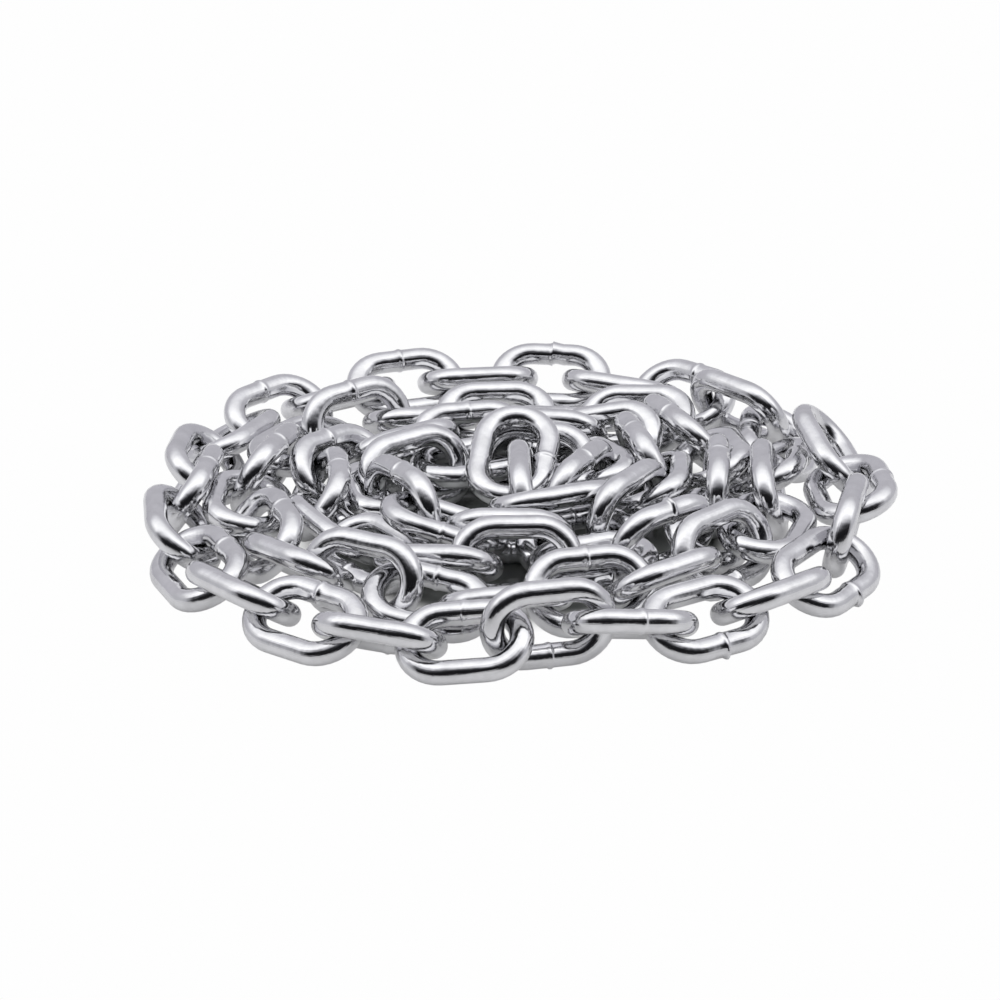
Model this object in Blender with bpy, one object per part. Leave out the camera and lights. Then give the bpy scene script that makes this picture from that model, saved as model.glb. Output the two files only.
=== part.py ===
"""Heap of steel chain: one length of zinc-plated, electrically welded short-link chain, coiled clockwise from
its outer end into a low flat spiral and lying on a level floor. Every link of the two outer turns is a solid of
its own; the links further in are joined at their bearing points into short runs. Metres, Z up, floor at Z = 0."""

import math

import bmesh
import bpy
import numpy as np

# Proportions of 1/4 inch proof coil chain.
WIRE_R = 0.0035
PITCH = 0.0254  # inside length
INSIDE_WIDTH = 0.0127
BOW_R = INSIDE_WIDTH / 2 + WIRE_R  # centreline radius of the two round ends
HALF = PITCH / 2 + WIRE_R - BOW_R  # half of the straight length of a side
OUT_L = PITCH + 4 * WIRE_R
# The rings between a round end's six pieces lie outside its centreline, so that they stray equally to both
# sides of it.
BOW_FIT = (1 + 1 / math.cos(math.pi / 12)) / 2

# Clear space kept between any two wires, and how far the wires that carry the heap are flattened where they
# lie.
CLEAR = 0.00045
FLAT = 0.00012
SINK = 0.00004  # how far the links sink in one pass of the seating

# Course of the chain from its outer end to its inner one, chosen by eye from the photograph: the points in mm
# where a link bears on the next, each with the lean in degrees of the link that starts there. A link of lean 0
# lies flat, one of + has its outer side up and one of - its inner side.
ROUTE = (
    # outer end, right side and front
    (88, 41, 20, -5), (99, 18, 11, 55), (101, -8, 8, 84), (99, -34, 12, -40), (93, -60, 10, 25),
    (74, -78, 11, -66), (51, -89, 11, 20), (25, -98, 12, 84), (-5, -102, 12, -32), (-31, -102, 9, 25),
    (-55, -91, 9, -40),
    # left side and back
    (-74, -76, 9, 25), (-89, -56, 9, -45), (-96, -32, 9, 15), (-99, -8, 9, 85), (-95, 18, 9, 32),
    (-91, 42, 9, -45), (-86, 60, 9, 30), (-71, 77, 9, -38), (-51, 91, 9, 45), (-27, 99, 9, -20),
    (-1, 102, 9, 50), (24, 102, 9, -35), (49, 93, 9, 50), (70, 77, 9, -40), (86, 58, 8, -35),
    # second turn
    (77, 35, 9, 5), (73, 11, 12, 75), (80, -13, 11, -15), (74, -37, 12, -70), (53, -49, 13, 25),
    (30, -61, 12, -45), (6, -69, 11, 30), (-18, -72, 10, 15), (-41, -65, 13, -60), (-61, -55, 12, 30),
    (-75, -43, 12, 75), (-81, -19, 12, 10), (-80, 4, 13, 80), (-75, 26, 13, 20), (-60, 44, 13, 80),
    (-38, 55, 12, -10), (-13, 60, 12, 38), (11, 61, 17, -60), (25, 67, 8, 35), (47, 58, 12, 80),
    # third turn
    (61, 37, 14, 5), (60, 12, 15, 85), (57, -13, 14, 0), (51, -35, 13, 60), (35, -46, 13, 0),
    (11, -49, 13, -60), (-13, -50, 13, 30), (-37, -44, 12, -60), (-51, -31, 12, 10), (-64, -12, 13, 80),
    (-61, 11, 14, 15), (-48, 31, 17, -60), (-26, 39, 19, 10), (-2, 42, 18, -60), (20, 40, 18, 20),
    # middle
    (41, 36, 19, 80), (43, 13, 19, 5), (42, -9, 18, 85), (33, -28, 14, -30), (10, -33, 15, 45),
    (-13, -35, 18, 10), (-36, -29, 20, 70), (-43, -6, 18, 5), (-40, 16, 19, 80), (-26, 27, 20, 10),
    (-4, 28, 18, 40), (18, 25, 19, 10), (28, 6, 21, 80), (23, -12, 22, 0), (3, -18, 17, 85), (4, 1, 16, 35),
    (0, 20, 24, 0),
)
SINGLE_LINKS = 48
RUN = 4


def link_frames(points, leans):
    """Centre of each link and its axes as columns: along, across, and through the hole."""
    centres = (points[1:] + points[:-1]) / 2
    along = points[1:] - points[:-1]
    along /= np.linalg.norm(along, axis=1)[:, None]
    side = np.cross(along, (0, 0, 1.0))
    side /= np.linalg.norm(side, axis=1)[:, None]
    side *= np.where((side[:, :2] * centres[:, :2]).sum(1) < 0, -1, 1)[:, None]
    up = np.cross(side, along)
    up *= np.sign(up[:, 2])[:, None]
    across = np.cos(leans)[:, None] * side + np.sin(leans)[:, None] * up
    return centres, np.stack([along, across, np.cross(along, across)], axis=2)


def wire_samples(count):
    """Evenly spaced points on a link's centreline."""
    straight, bow = 2 * HALF, math.pi * BOW_R
    out = []
    for k in range(count):
        s = (k + 0.5) * 2 * (straight + bow) / count
        flip = 1 if s < straight + bow else -1
        s %= straight + bow
        if s < straight:
            x, y = s - HALF, BOW_R
        else:
            a = math.pi / 2 - (s - straight) / BOW_R
            x, y = HALF + BOW_R * math.cos(a), BOW_R * math.sin(a)
        out.append((flip * x, flip * y, 0.0))
    return np.array(out)


def turned_by(vectors):
    """Rotation matrix of each rotation vector."""
    angle = np.linalg.norm(vectors, axis=1)
    k = vectors / np.maximum(angle, 1e-12)[:, None]
    cross = np.zeros((len(k), 3, 3))
    cross[:, 0, 1], cross[:, 0, 2], cross[:, 1, 2] = -k[:, 2], k[:, 1], -k[:, 0]
    cross[:, 1, 0], cross[:, 2, 0], cross[:, 2, 1] = k[:, 2], -k[:, 1], k[:, 0]
    sine, versine = np.sin(angle)[:, None, None], 1 - np.cos(angle)[:, None, None]
    return np.eye(3) + sine * cross + versine * (cross @ cross)


def nearest_on_link(q):
    """Nearest centreline point, in link coordinates, to each point q, and the distance."""
    t = np.clip(q[..., 0], -HALF, HALF)
    dx, dy = q[..., 0] - t, q[..., 1]
    rho = np.maximum(np.hypot(dx, dy), 1e-9)
    near = np.stack([t + BOW_R * dx / rho, BOW_R * dy / rho, np.zeros_like(t)], -1)
    return near, np.sqrt((rho - BOW_R) ** 2 + q[..., 2] ** 2)


def seat(centres, axes, apart, passes, sinking, propped):
    """Moves the links off each other and off the floor until every two wires are `apart` between centrelines.
    For the first passes all but the first `propped` links also sink a little each time, so the heap closes up."""
    shape = wire_samples(28)
    spread = 0.0115**2
    n = len(centres)
    centres, axes = centres.copy(), axes.copy()
    for step in range(passes):
        if step % 8 == 0:
            far = np.linalg.norm(centres[:, None] - centres[None], axis=2)
            first, second = np.nonzero((far < OUT_L + 0.004) & ~np.eye(n, dtype=bool))
        if step < sinking:
            centres[propped:, 2] -= SINK
        wire = centres[:, None] + shape @ axes.transpose(0, 2, 1)
        q = (wire[first] - centres[second][:, None]) @ axes[second]
        near, dist = nearest_on_link(q)
        k, m = np.nonzero(dist < apart)
        move, turn, count = np.zeros((n, 3)), np.zeros((n, 3)), np.zeros(n)
        if len(k):
            i, j, d = first[k], second[k], dist[k, m]
            push = np.einsum("kij,kj->ki", axes[j], (q[k, m] - near[k, m]) / np.maximum(d, 1e-9)[:, None])
            arm_i = np.cross(wire[i, m] - centres[i], push)
            arm_j = np.cross(np.einsum("kij,kj->ki", axes[j], near[k, m]), push)
            share = (apart - d) / (2 + ((arm_i**2).sum(1) + (arm_j**2).sum(1)) / spread)
            for which, sign, arm in ((i, 1, arm_i), (j, -1, arm_j)):
                np.add.at(move, which, sign * share[:, None] * push)
                np.add.at(turn, which, sign * share[:, None] * arm / spread)
                np.add.at(count, which, 1)
        low = WIRE_R - wire[..., 2]
        i, m = np.nonzero(low > 0)
        if len(i):
            arm = np.cross(wire[i, m] - centres[i], (0, 0, 1.0))
            share = low[i, m] / (1 + (arm**2).sum(1) / spread)
            np.add.at(move, i, share[:, None] * (0, 0, 1.0))
            np.add.at(turn, i, share[:, None] * arm / spread)
            np.add.at(count, i, 1)
        ease = (1.4 / np.maximum(count, 1) ** 0.85)[:, None]
        centres += move * ease
        axes = turned_by(turn * ease) @ axes
    u, _, v = np.linalg.svd(axes)
    return centres, u @ v


def lay_out():
    """Centre and axes of every link of the seated heap; the first two links lean on the turn behind them."""
    route = np.array(ROUTE, float)
    centres, axes = link_frames(route[:, :3] / 1000, np.radians(route[:-1, 3]))
    return seat(centres, axes, 2 * WIRE_R + CLEAR, 3500, 800, 2)


def link_mesh(centre, axes, end=False):
    """Closed eight-sided wire bent to a link, six pieces to each round end; a side of the wire faces down.
    An end link has its sides square to the hole and a small flat at each crown, where a shackle bears."""
    angles = [math.pi * k / 6 for k in range(7)]
    radii = [BOW_R] + [BOW_R * BOW_FIT] * 5 + [BOW_R]
    if end:
        crown = math.radians(10)
        angles[3:4] = [math.pi / 2 - crown, math.pi / 2 + crown]
        radii[3:4] = [BOW_R / math.cos(crown)] * 2
    # The side of the wire facing down is counted on the lower of the link's two legs.
    down = axes.T @ np.array((0, 0, -1.0))
    phase = math.pi / 8 + (0 if end else math.atan2(down[2], abs(down[1])))
    through = np.array((0, 0, 1.0))
    bm = bmesh.new()
    rings = []
    for flip in (1, -1):
        for a, r in zip(angles, radii):
            out = np.array((math.sin(a), math.cos(a), 0)) * flip
            middle = np.array((HALF * flip, 0, 0)) + r * out
            ring = []
            for k in range(8):
                b = phase + k * math.pi / 4
                point = middle + WIRE_R * (math.cos(b) * out + math.sin(b) * through)
                ring.append(bm.verts.new(centre + axes @ point))
            rings.append(ring)
    for k, ring in enumerate(rings):
        after = rings[(k + 1) % len(rings)]
        for m in range(8):
            bm.faces.new((ring[m], ring[(m + 1) % 8], after[(m + 1) % 8], after[m]))
    bmesh.ops.recalc_face_normals(bm, faces=bm.faces)
    return bm


def bearing(one, two):
    """Where two wires lie closest: a point on each centreline."""
    (c1, a1), (c2, a2) = one, two
    shape = wire_samples(720)
    wire = c1 + shape @ a1.T
    near, dist = nearest_on_link((wire - c2) @ a2)
    k = int(np.argmin(dist))
    return wire[k], c2 + a2 @ near[k]


# The bar that joins two links of a run: its radius, and how far inside each wire's centreline it starts.
PLUG_R = 0.0013
PLUG_IN = 0.0021


def plug_mesh(p, q):
    """Short six-sided bar between two centreline points; it joins two wires where they bear on each other."""
    axis = (q - p) / np.linalg.norm(q - p)
    aside = np.cross(axis, (0.31, 0.52, 0.8))
    aside /= np.linalg.norm(aside)
    other = np.cross(axis, aside)
    corners = [PLUG_R * (math.cos(k * math.pi / 3) * aside + math.sin(k * math.pi / 3) * other) for k in range(6)]
    bm = bmesh.new()
    rings = [[bm.verts.new(end + corner) for corner in corners] for end in (p + PLUG_IN * axis, q - PLUG_IN * axis)]
    for m in range(6):
        bm.faces.new((rings[0][m], rings[0][(m + 1) % 6], rings[1][(m + 1) % 6], rings[1][m]))
    bm.faces.new(rings[0])
    bm.faces.new(rings[1])
    bmesh.ops.recalc_face_normals(bm, faces=bm.faces)
    return bm


def add_object(name, bm):
    mesh = bpy.data.meshes.new(name)
    bm.to_mesh(mesh)
    bm.free()
    obj = bpy.data.objects.new(name, mesh)
    bpy.context.scene.collection.objects.link(obj)
    return obj


def join_exact(target, other):
    """Unites `other` into `target` and removes it."""
    mod = target.modifiers.new("join", "BOOLEAN")
    mod.operation = "UNION"
    mod.solver = "EXACT"
    mod.object = other
    bpy.context.view_layer.update()
    shaped = bpy.data.meshes.new_from_object(target.evaluated_get(bpy.context.evaluated_depsgraph_get()))
    target.modifiers.clear()
    target.data = shaped
    bpy.data.objects.remove(other, do_unlink=True)


def flatten_on_floor(obj):
    """Cuts off what reaches below the floor and closes the cut with flat faces."""
    if min(v.co.z for v in obj.data.vertices) > -1e-6:
        return
    bm = bmesh.new()
    bm.from_mesh(obj.data)
    geometry = bm.verts[:] + bm.edges[:] + bm.faces[:]
    floor = {"plane_co": (0, 0, 0), "plane_no": (0, 0, 1)}
    bmesh.ops.bisect_plane(bm, geom=geometry, dist=1e-7, clear_inner=True, **floor)
    bmesh.ops.holes_fill(bm, edges=[e for e in bm.edges if e.is_boundary], sides=0)
    bmesh.ops.remove_doubles(bm, verts=bm.verts, dist=2e-6)
    bmesh.ops.dissolve_degenerate(bm, edges=bm.edges, dist=1e-6)
    bmesh.ops.recalc_face_normals(bm, faces=bm.faces)
    bm.to_mesh(obj.data)
    bm.free()


def zinc_plate():
    mat = bpy.data.materials.new("zinc_plated_steel")
    mat.use_nodes = True
    bsdf = mat.node_tree.nodes["Principled BSDF"]
    bsdf.inputs["Base Color"].default_value = (0.55, 0.55, 0.58, 1)
    bsdf.inputs["Metallic"].default_value = 1.0
    bsdf.inputs["Roughness"].default_value = 0.22
    return mat


for old in list(bpy.data.objects):
    bpy.data.objects.remove(old, do_unlink=True)

centres, axes = lay_out()
samples = wire_samples(96)
wires = centres[:, None] + samples @ axes.transpose(0, 2, 1)
low, high = wires.reshape(-1, 3).min(0) - WIRE_R, wires.reshape(-1, 3).max(0) + WIRE_R
flat_side = WIRE_R * (1 - math.cos(math.pi / 8))
centres -= ((low[0] + high[0]) / 2, (low[1] + high[1]) / 2, flat_side + FLAT)

metal = zinc_plate()
count = len(centres)
nodes = []
for i in range(min(SINGLE_LINKS, count)):
    nodes.append(add_object(f"link_{i + 1:02d}", link_mesh(centres[i], axes[i], end=i == 0)))
starts = list(range(SINGLE_LINKS, count, RUN))
if count - starts[-1] < 2:
    starts.pop()
for number, start in enumerate(starts):
    stop = count if start == starts[-1] else start + RUN
    node = add_object(f"link_run_{number + 1:02d}", link_mesh(centres[start], axes[start]))
    for i in range(start + 1, stop):
        near_points = bearing((centres[i - 1], axes[i - 1]), (centres[i], axes[i]))
        join_exact(node, add_object("bearing", plug_mesh(*near_points)))
        join_exact(node, add_object("next", link_mesh(centres[i], axes[i], end=i == count - 1)))
    nodes.append(node)
for node in nodes:
    flatten_on_floor(node)
    node.data.materials.clear()
    node.data.materials.append(metal)

# The origin is the middle of the bottom of the box round the finished heap.
corners = np.array([v.co for node in nodes for v in node.data.vertices])
offset = (corners.min(0) + corners.max(0)) / 2
for node in nodes:
    for v in node.data.vertices:
        v.co.x -= offset[0]
        v.co.y -= offset[1]
        v.co.z -= corners[:, 2].min()
    node.data.update()
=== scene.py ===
"""Heap of steel chain: one length of bright zinc-plated, electrically welded chain, coiled on a floor."""
import math

import bpy
import numpy as np
from mathutils import Matrix, Vector


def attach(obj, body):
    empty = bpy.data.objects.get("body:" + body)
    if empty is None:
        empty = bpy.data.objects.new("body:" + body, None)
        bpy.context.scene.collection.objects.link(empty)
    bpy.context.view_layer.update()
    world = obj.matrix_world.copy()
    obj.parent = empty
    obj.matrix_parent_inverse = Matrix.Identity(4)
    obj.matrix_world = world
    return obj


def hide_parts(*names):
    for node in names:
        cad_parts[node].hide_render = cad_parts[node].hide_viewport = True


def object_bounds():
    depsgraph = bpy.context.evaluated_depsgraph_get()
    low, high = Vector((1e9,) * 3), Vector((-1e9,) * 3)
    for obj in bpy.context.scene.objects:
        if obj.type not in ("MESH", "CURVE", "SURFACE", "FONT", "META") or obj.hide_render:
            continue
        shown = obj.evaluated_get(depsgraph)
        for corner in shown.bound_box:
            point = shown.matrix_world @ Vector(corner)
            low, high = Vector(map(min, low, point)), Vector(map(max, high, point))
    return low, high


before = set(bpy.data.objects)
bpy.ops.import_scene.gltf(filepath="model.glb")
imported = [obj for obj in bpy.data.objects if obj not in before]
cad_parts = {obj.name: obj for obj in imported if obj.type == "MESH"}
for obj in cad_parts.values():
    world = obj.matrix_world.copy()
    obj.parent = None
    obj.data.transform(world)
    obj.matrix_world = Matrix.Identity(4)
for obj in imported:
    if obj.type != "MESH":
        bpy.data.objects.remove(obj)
cad_box = [list(corner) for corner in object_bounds()]

# Viewpoint: the photograph looks down at the heap by about a quarter of a right angle, from over a metre
# off with a long lens, so the far side of the coil is hardly smaller than the near one.
heap_middle = Vector((-0.0016, -0.0002, 0.0095))
camera_down = math.radians(24.0)
camera_distance = 1.15
pixels_per_mm_at_middle = 3.32
frame_pixels = 1000
heap_off_centre_mm = (4.8, 0.7)

aim = heap_middle + Vector((-heap_off_centre_mm[0], 0, -heap_off_centre_mm[1])) / 1000
camera_data = bpy.data.cameras.new("photographer_camera")
camera_data.sensor_width = 36.0
camera_data.lens = pixels_per_mm_at_middle * camera_distance * 1000 * camera_data.sensor_width / frame_pixels
camera = bpy.data.objects.new("photographer_camera", camera_data)
bpy.context.scene.collection.objects.link(camera)
camera.location = aim + camera_distance * Vector((0, -math.cos(camera_down), math.sin(camera_down)))
camera.rotation_euler = (math.pi / 2 - camera_down, 0, 0)
bpy.context.scene.camera = camera


# One link: 7 mm drawn steel wire, cut to length, bent to an oblong with two parallel legs, and butt-welded
# by electric current halfway along one leg. Three welds are made: a neat collar where the hot ends swelled,
# one with a burr of squeezed-out metal at its outer side, and two ends that meet a little out of line.
wire_radius = 0.0035
inside_length = 0.0254
inside_width = 0.0127
bow_radius = inside_width / 2 + wire_radius
half_leg = inside_length / 2 + wire_radius - bow_radius
wire_sides = 28
bow_steps = 18
plain_leg_steps = 5

# How far the wire swells at each distance in millimetres from the weld.
weld_swelling = {
    -5.0: 1.0, -3.6: 1.0, -2.5: 1.0, -1.7: 1.005, -1.15: 1.015, -0.75: 1.035, -0.48: 1.075, -0.26: 1.09,
    -0.1: 1.095, 0.1: 1.09, 0.26: 1.085, 0.48: 1.07, 0.75: 1.03, 1.15: 1.015, 1.7: 1.005, 2.5: 1.0, 3.6: 1.0,
    5.0: 1.0,
}


def in_edit(piece):
    bpy.ops.object.select_all(action="DESELECT")
    bpy.context.view_layer.objects.active = piece
    piece.select_set(True)
    bpy.ops.object.mode_set(mode="EDIT")
    bpy.ops.mesh.select_mode(type="VERT")


def select_points(piece, chosen):
    bpy.ops.mesh.select_all(action="DESELECT")
    bpy.ops.object.mode_set(mode="OBJECT")
    for point in piece.data.vertices:
        point.select = bool(chosen(point.co))
    bpy.ops.object.mode_set(mode="EDIT")


def raise_burr(link, burr):
    """Pulls out the crest of the collar at its outer side, and a wider foot under it by 0.3 as much."""
    crest_half_width = 0.0003
    foot_half_width = 0.0006
    outer_side = bow_radius + wire_radius
    crest_starts = outer_side - 0.12 * wire_radius
    select_points(link, lambda p: abs(p.x) < crest_half_width and p.y > crest_starts)
    bpy.ops.transform.translate(value=(0, burr, 0))
    foot_starts = outer_side - 0.4 * wire_radius
    foot_ends = outer_side + 0.1 * wire_radius
    select_points(link, lambda p: abs(p.x) < foot_half_width and foot_starts < p.y < foot_ends)
    bpy.ops.transform.translate(value=(0, 0.3 * burr, 0))


def offset_end(link, step):
    """Moves one of the two welded ends outwards and up, easing off within 3 mm of the weld."""
    for share, reach in ((0.4, 0.0030), (0.35, 0.0020), (0.25, 0.0012)):
        select_points(link, lambda p: p.y > 0 and 0 < p.x < reach)
        bpy.ops.transform.translate(value=(0, step * share, step * share))


def bend_link(name, burr=0.0, step=0.0):
    """A finished link lying flat at the origin: long way along X, hole along Z, weld on its +Y leg."""
    bpy.ops.object.select_all(action="DESELECT")
    bpy.ops.mesh.primitive_circle_add(
        vertices=wire_sides,
        radius=wire_radius,
        fill_type="NOTHING",
        location=(-half_leg, bow_radius, 0),
        rotation=(0, math.pi / 2, 0),
    )
    link = bpy.context.object
    link.name = name
    bpy.ops.object.transform_apply(location=True, rotation=True, scale=True)
    in_edit(link)
    bpy.ops.mesh.select_all(action="SELECT")
    stations = [-half_leg * 1000, *weld_swelling, half_leg * 1000]
    for here, after in zip(stations, stations[1:]):
        bpy.ops.mesh.extrude_region_move(TRANSFORM_OT_translate={"value": ((after - here) / 1000, 0, 0)})
    bpy.ops.mesh.spin(steps=bow_steps, angle=math.pi, center=(half_leg, 0, 0), axis=(0, 0, 1))
    for _ in range(plain_leg_steps):
        plain_step = -2 * half_leg / plain_leg_steps
        bpy.ops.mesh.extrude_region_move(TRANSFORM_OT_translate={"value": (plain_step, 0, 0)})
    bpy.ops.mesh.spin(steps=bow_steps, angle=math.pi, center=(-half_leg, 0, 0), axis=(0, 0, 1))
    bpy.ops.mesh.select_all(action="SELECT")
    bpy.ops.mesh.remove_doubles(threshold=0.000002)
    bpy.ops.mesh.normals_make_consistent(inside=False)
    for station, swelling in weld_swelling.items():
        if swelling > 1:
            select_points(link, lambda p: p.y > 0 and abs(p.x * 1000 - station) < 0.03)
            middle = (station / 1000, bow_radius, 0)
            bpy.ops.transform.resize(value=(1, swelling, swelling), center_override=middle)
    if burr:
        raise_burr(link, burr)
    if step:
        offset_end(link, step)
    bpy.ops.object.mode_set(mode="OBJECT")
    bpy.ops.object.shade_smooth()
    return link


neat_link = bend_link("neat_link")
burred_link = bend_link("burred_link", burr=0.0008)
stepped_link = bend_link("stepped_link", step=0.00035)

# Each link keeps a UV map in millimetres, round the wire and along it from the weld, so that the drawing
# lines follow the wire round its bends.
bow_length = math.pi * bow_radius
wire_length = 4 * half_leg + 2 * bow_length
wire_round = 2 * math.pi * wire_radius


def place_on_wire(p):
    if abs(p.x) <= half_leg:
        around = math.atan2(p.z, abs(p.y) - bow_radius)
        along = p.x if p.y > 0 else 2 * half_leg + bow_length - p.x
    else:
        past = abs(p.x) - half_leg
        around = math.atan2(p.z, math.hypot(p.y, past) - bow_radius)
        turn = bow_radius * math.atan2(p.y, past)
        along = half_leg + bow_length / 2 - turn if p.x > 0 else 3 * half_leg + 1.5 * bow_length + turn
    return around * wire_radius, along % wire_length


for link in (neat_link, burred_link, stepped_link):
    wire_map = link.data.uv_layers.new(name="wire_mm")
    for polygon in link.data.polygons:
        first = None
        for corner in polygon.loop_indices:
            around, along = place_on_wire(link.data.vertices[link.data.loops[corner].vertex_index].co)
            first = first or (around, along)
            around -= wire_round * round((around - first[0]) / wire_round)
            along -= wire_length * round((along - first[1]) / wire_length)
            wire_map.data[corner].uv = (around * 1000, along * 1000)


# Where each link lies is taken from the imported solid: the straight edges of a leg give its middle, and
# two parallel legs as far apart as a link is wide make one link. The slacks are in metres.
leg_length_slack = 0.00002
floor_slack = 0.00005
level_slack = 0.00006
width_slack = 0.0001
parallel_edges = 0.99999
parallel_legs = 0.9999


def straight_edges(solid):
    """The middles and directions of the edges as long as a leg, but for those pressed flat on the floor."""
    points = np.array([v.co for v in solid.data.vertices])
    ends = np.array([e.vertices for e in solid.data.edges])
    run = points[ends[:, 1]] - points[ends[:, 0]]
    length = np.linalg.norm(run, axis=1)
    on_floor = points[ends, 2].max(1) < floor_slack
    straight = (np.abs(length - 2 * half_leg) < leg_length_slack) & ~on_floor
    middle = (points[ends[straight, 0]] + points[ends[straight, 1]]) / 2
    return middle, run[straight] / length[straight][:, None]


def leg_middle(corners, along):
    """The middle of the circle through a leg's corners, seen along the leg."""
    side = np.cross(along, (0.36, 0.48, 0.8))
    side /= np.linalg.norm(side)
    basis = np.array((side, np.cross(along, side)))
    apart = corners - corners[0]
    flat = apart @ basis.T
    columns = np.column_stack([2 * flat, np.ones(len(flat))])
    centre = np.linalg.lstsq(columns, (flat**2).sum(1), rcond=None)[0][:2]
    return corners[0] + centre @ basis + along * (apart @ along).mean()


def links_in(solid):
    middle, run = straight_edges(solid)
    legs = []
    left = list(range(len(run)))
    while left:
        k = left[0]
        apart = middle[left] - middle[k]
        near = np.abs(run[left] @ run[k]) > parallel_edges
        near &= np.abs(apart @ run[k]) < level_slack
        near &= np.linalg.norm(apart, axis=1) < 2.05 * wire_radius
        group = [left[n] for n in np.nonzero(near)[0]]
        left = [n for n in left if n not in group]
        corners = np.unique(np.round(middle[group], 6), axis=0)
        if len(corners) >= 3:
            legs.append((leg_middle(corners, run[k]), run[k]))
    found = []
    for n, (one, along) in enumerate(legs):
        for two, other in legs[n + 1 :]:
            across = two - one
            side_by_side = abs(along @ other) > parallel_legs and abs(across @ along) < width_slack
            if side_by_side and abs(np.linalg.norm(across) - 2 * bow_radius) < width_slack:
                across = across * (1 if across[2] > 0 else -1) / np.linalg.norm(across)
                found.append(((one + two) / 2, along, across))
    return found


# Zinc-plated steel: electroplated bright, so it mirrors its surroundings almost like chrome, but the thin
# zinc is a little cloudy and hazed, and it follows the ripples and drawing lines of the wire under it.
def srgb(code):
    parts = [int(code[k : k + 2], 16) / 255 for k in (1, 3, 5)]
    return tuple(c / 12.92 if c <= 0.04045 else ((c + 0.055) / 1.055) ** 2.4 for c in parts) + (1.0,)


def add_node(tree, kind, values=None, links=None, **settings):
    node = tree.nodes.new(kind)
    for key, value in settings.items():
        setattr(node, key, value)
    for key, value in (values or {}).items():
        node.inputs[key].default_value = value
    for key, source in (links or {}).items():
        tree.links.new(source, node.inputs[key])
    return node


zinc = bpy.data.materials.new("bright_zinc_plate")
zinc.use_nodes = True
tree = zinc.node_tree
surface = tree.nodes["Principled BSDF"]
surface.inputs["Metallic"].default_value = 1.0
place = add_node(tree, "ShaderNodeTexCoord")
wire = add_node(tree, "ShaderNodeUVMap", uv_map="wire_mm")

# Clouds some 6 mm across, from uneven plating.
cloud_size = {"Scale": 160.0, "Detail": 3.0, "Roughness": 0.55}
cloud = add_node(tree, "ShaderNodeTexNoise", cloud_size, {"Vector": place.outputs["Object"]})
tint = add_node(tree, "ShaderNodeValToRGB", links={"Fac": cloud.outputs["Fac"]})
tint.color_ramp.elements[0].position, tint.color_ramp.elements[0].color = 0.34, srgb("#D3D3D5")
tint.color_ramp.elements[1].position, tint.color_ramp.elements[1].color = 0.66, srgb("#E1E1E3")
tree.links.new(tint.outputs["Color"], surface.inputs["Base Color"])

# Haze in patches of 2 to 3 mm, which dulls the mirror here and there.
haze_size = {"Scale": 420.0, "Detail": 4.0, "Roughness": 0.6}
haze = add_node(tree, "ShaderNodeTexNoise", haze_size, {"Vector": place.outputs["Object"]})
gloss_range = {"From Min": 0.3, "From Max": 0.72, "To Min": 0.06, "To Max": 0.13}
gloss = add_node(tree, "ShaderNodeMapRange", gloss_range, {"Value": haze.outputs["Fac"]})
tree.links.new(gloss.outputs["Result"], surface.inputs["Roughness"])

# Drawing lines 0.4 mm apart and some 14 mm long, coarser than the real ones so that they show, and
# ripples of 4 mm.
line_stretch = (2.6, 0.07, 1.0)
lines_place = add_node(tree, "ShaderNodeMapping", {"Scale": line_stretch}, {"Vector": wire.outputs["UV"]})
line_size = {"Scale": 1.0, "Detail": 2.0, "Roughness": 0.5}
lines = add_node(tree, "ShaderNodeTexNoise", line_size, {"Vector": lines_place.outputs["Vector"]})
ripple_size = {"Scale": 230.0, "Detail": 2.0, "Roughness": 0.45}
ripple = add_node(tree, "ShaderNodeTexNoise", ripple_size, {"Vector": place.outputs["Object"]})
line_depth = {"Strength": 0.18, "Distance": 0.0002}
line_bump = add_node(tree, "ShaderNodeBump", line_depth, {"Height": lines.outputs["Fac"]})
ripple_bump = add_node(
    tree,
    "ShaderNodeBump",
    {"Strength": 0.24, "Distance": 0.0007},
    {"Height": ripple.outputs["Fac"], "Normal": line_bump.outputs["Normal"]},
)
tree.links.new(ripple_bump.outputs["Normal"], surface.inputs["Normal"])


# The chain as it lies: every link is a copy of one of the three. Its weld is on its upper or lower leg as the
# photograph shows it, or else as guessed or drawn by chance. Where a copy's round wire would stand out of the
# solids' own box, or dip into the floor, it is pressed flat there.
weld_below = {
    1, 3, 4, 5, 6, 8, 10, 12, 14, 16, 17, 19, 21, 23, 25, 28, 30, 31, 33, 35, 36, 38, 40, 42, 43, 45, 47,
}
burred = {4, 6, 8}
last_single_link = 48
kinds = (neat_link, burred_link, stepped_link)
share_of_kinds = (0.72, 0.08, 0.2)
round_the_wire_mm = 22
chance = np.random.default_rng(21)
number = 0


def lay_link(kind, centre, x_axis, y_axis):
    copy = kind.copy()
    copy.data = kind.data.copy()
    bpy.context.scene.collection.objects.link(copy)
    turn = Matrix((x_axis, y_axis, x_axis.cross(y_axis))).transposed().to_4x4()
    copy.data.transform(Matrix.Translation(Vector(centre)) @ turn)
    for point in copy.data.vertices:
        point.co = [min(max(where, low), high) for where, low, high in zip(point.co, *cad_box)]
    return copy


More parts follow.
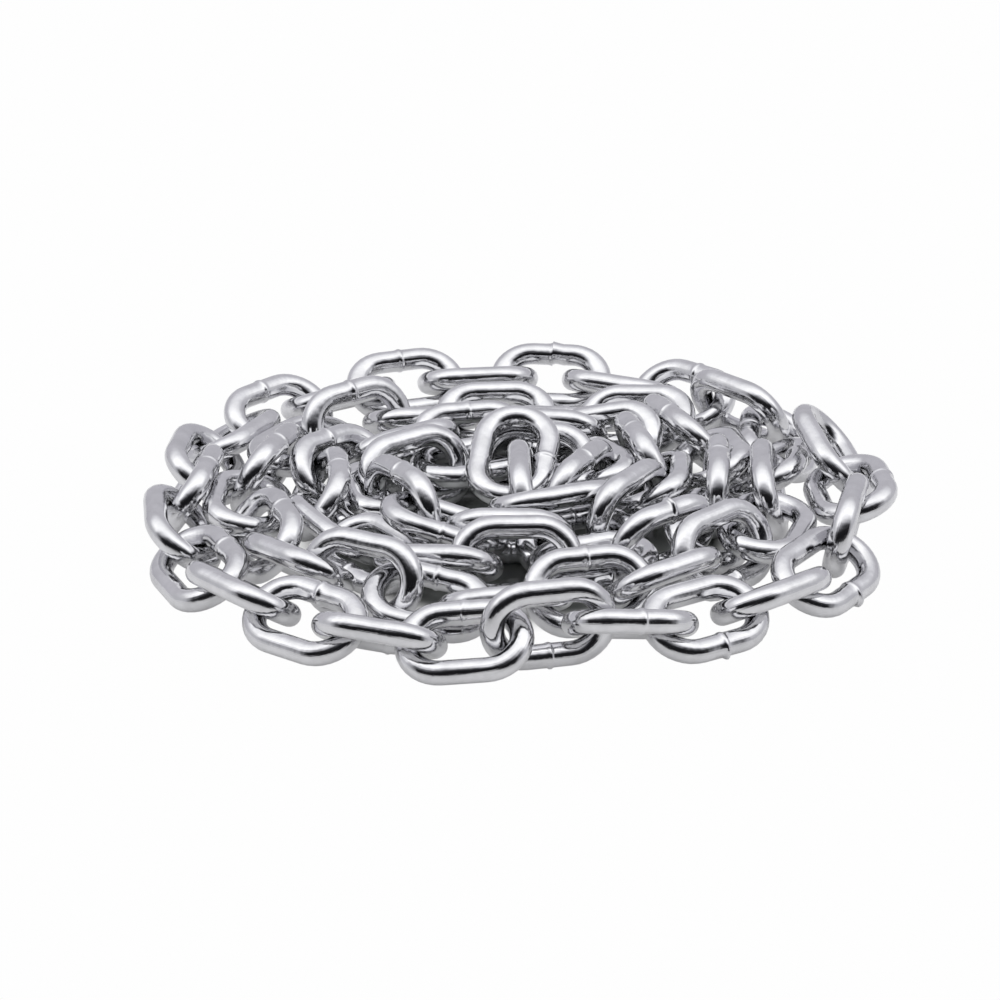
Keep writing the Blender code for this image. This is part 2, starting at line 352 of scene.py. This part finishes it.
for name in sorted(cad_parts):
    copies = []
    for centre, along, across in links_in(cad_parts[name]):
        number += 1
        flip_long = -1 if chance.random() < 0.5 else 1
        below = number in weld_below or (number > last_single_link and chance.random() < 0.6)
        flip_across = -1 if below else 1
        kind = burred_link if number in burred else kinds[int(chance.choice(3, p=share_of_kinds))]
        copy = lay_link(kind, centre, Vector(along) * flip_long, Vector(across) * flip_across)
        shift = float(chance.random()) * round_the_wire_mm
        for corner in copy.data.uv_layers["wire_mm"].data:
            corner.uv.x += shift
        copies.append(copy)
    bpy.ops.object.select_all(action="DESELECT")
    for copy in copies:
        copy.select_set(True)
    bpy.context.view_layer.objects.active = copies[0]
    if len(copies) > 1:
        bpy.ops.object.join()
    piece = bpy.context.object
    piece.name = name + "_wire"
    piece.data.name = piece.name
    piece.data.materials.clear()
    piece.data.materials.append(zinc)
    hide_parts(name)
    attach(piece, "root")
for link in kinds:
    bpy.data.objects.remove(link)
print("links placed:", number)


# Floor: a plain white paper sheet that runs out past the view. Outside the heap it shows pure white,
# without a shadow, as in the photograph, and a quarter of that white also brightens what the wires mirror
# of it. Under the heap its colour is greyed by a painted shade, which fades out from 58 to 74 mm off the
# middle and is darker where the camera sees it straight than where the wires mirror it. It has a slight
# sheen.
# Radii in metres over which the painted shade under the heap fades into the open white floor.
shade_starts, shade_ends = 0.058, 0.074
white_in_mirrors = 0.25
bpy.ops.object.select_all(action="DESELECT")
bpy.ops.mesh.primitive_grid_add(x_subdivisions=4, y_subdivisions=4, size=6, location=(0, 0, -0.00005))
floor = bpy.context.object
floor.name = "white_floor"
paper = bpy.data.materials.new("white_paper_floor")
paper.use_nodes = True
tree = paper.node_tree
tree.nodes.remove(tree.nodes["Principled BSDF"])
lit = add_node(tree, "ShaderNodeEmission", {"Color": srgb("#FEFEFE"), "Strength": 1.0})
place = add_node(tree, "ShaderNodeTexCoord")
away = add_node(tree, "ShaderNodeVectorMath", links={0: place.outputs["Object"]}, operation="LENGTH")
open_floor = add_node(
    tree,
    "ShaderNodeMapRange",
    {"From Min": shade_starts, "From Max": shade_ends},
    {"Value": away.outputs["Value"]},
    interpolation_type="SMOOTHSTEP",
)
ray = add_node(tree, "ShaderNodeLightPath")
seen_directly = ray.outputs["Is Camera Ray"]
# Painted shade under the heap: a grey floor colour, #7A7D7A where the camera sees it and #CBCDCB in the
# wires' mirrors.
painted_shade_under_heap = add_node(
    tree, "ShaderNodeMix", {6: srgb("#CBCDCB"), 7: srgb("#7A7D7A")}, {0: seen_directly}, data_type="RGBA"
)
shade = add_node(
    tree,
    "ShaderNodeMix",
    {7: srgb("#F8F8F8")},
    {0: open_floor.outputs["Result"], 6: painted_shade_under_heap.outputs[2]},
    data_type="RGBA",
)
matt = add_node(tree, "ShaderNodeBsdfDiffuse", links={"Color": shade.outputs[2]})
sheen = add_node(tree, "ShaderNodeBsdfGlossy", {"Color": srgb("#FFFFFF"), "Roughness": 0.12})
glance = add_node(tree, "ShaderNodeFresnel", {"IOR": 1.45})
sheet = add_node(
    tree,
    "ShaderNodeMixShader",
    links={"Fac": glance.outputs["Fac"], 1: matt.outputs["BSDF"], 2: sheen.outputs["BSDF"]},
)
lit_share = add_node(
    tree, "ShaderNodeMapRange", {"To Min": white_in_mirrors, "To Max": 1.0}, {"Value": seen_directly}
)
clear = add_node(
    tree,
    "ShaderNodeMath",
    links={0: lit_share.outputs["Result"], 1: open_floor.outputs["Result"]},
    operation="MULTIPLY",
)
seen = add_node(
    tree,
    "ShaderNodeMixShader",
    links={"Fac": clear.outputs["Value"], 1: sheet.outputs["Shader"], 2: lit.outputs["Emission"]},
)
tree.links.new(seen.outputs["Shader"], tree.nodes["Material Output"].inputs["Surface"])
floor.data.materials.append(paper)


# Light: a white tent, with a broad soft light overhead, a pale violet grey far wall and plain grey ends. The
# near side, where the camera stands, is dark, which draws the thin black line along every bright wire. The
# table gives the tent's colour from the near horizon, at 0 degrees, over the top to the far horizon.
tent_by_degrees = (
    (0, "#2C2C2E"), (14, "#131315"), (33, "#1A1A1C"), (42, "#404043"), (52, "#89898D"), (60, "#C2C2C5"),
    (68, "#E6E6E8"), (77, "#FCFCFD"), (88, "#FBFBFB"), (109, "#E2E2E4"), (122, "#CBCBCF"), (138, "#AFAEB3"),
    (180, "#A4A3A9"),
)
tent_strength = 1.5
world = bpy.data.worlds.new("light_tent")
bpy.context.scene.world = world
world.use_nodes = True
tree = world.node_tree
sky = add_node(tree, "ShaderNodeTexCoord")
parts = add_node(tree, "ShaderNodeSeparateXYZ", links={"Vector": sky.outputs["Generated"]})
nearness = add_node(tree, "ShaderNodeMath", {1: -1.0}, {0: parts.outputs["Y"]}, operation="MULTIPLY")
climb = add_node(
    tree, "ShaderNodeMath", links={0: parts.outputs["Z"], 1: nearness.outputs["Value"]}, operation="ARCTAN2"
)
share = add_node(
    tree, "ShaderNodeMapRange", {"From Min": 0.0, "From Max": math.pi}, {"Value": climb.outputs["Value"]}
)
arch = add_node(tree, "ShaderNodeValToRGB", links={"Fac": share.outputs["Result"]})
stops = arch.color_ramp.elements
for degrees, colour in tent_by_degrees[1:-1]:
    stops.new(degrees / 180).color = srgb(colour)
stops[0].color = srgb(tent_by_degrees[0][1])
stops[len(stops) - 1].color = srgb(tent_by_degrees[-1][1])
sideways = add_node(tree, "ShaderNodeMath", links={0: parts.outputs["X"]}, operation="ABSOLUTE")
aside = add_node(
    tree,
    "ShaderNodeMapRange",
    {"From Min": 0.75, "From Max": 1.0},
    {"Value": sideways.outputs["Value"]},
    interpolation_type="SMOOTHSTEP",
)
tent = add_node(
    tree,
    "ShaderNodeMix",
    {7: srgb("#ACACB0")},
    {0: aside.outputs["Result"], 6: arch.outputs["Color"]},
    data_type="RGBA",
)
glow = add_node(tree, "ShaderNodeBackground", {"Strength": tent_strength}, {"Color": tent.outputs[2]})
blank = add_node(tree, "ShaderNodeBackground", {"Color": srgb("#FEFEFE"), "Strength": 1.0})
ray = add_node(tree, "ShaderNodeLightPath")
mixed = add_node(
    tree,
    "ShaderNodeMixShader",
    links={
        "Fac": ray.outputs["Is Camera Ray"],
        1: glow.outputs["Background"],
        2: blank.outputs["Background"],
    },
)
tree.links.new(mixed.outputs["Shader"], tree.nodes["World Output"].inputs["Surface"])
bpy.context.scene.view_settings.view_transform = "Standard"
bpy.context.scene.view_settings.look = "None"
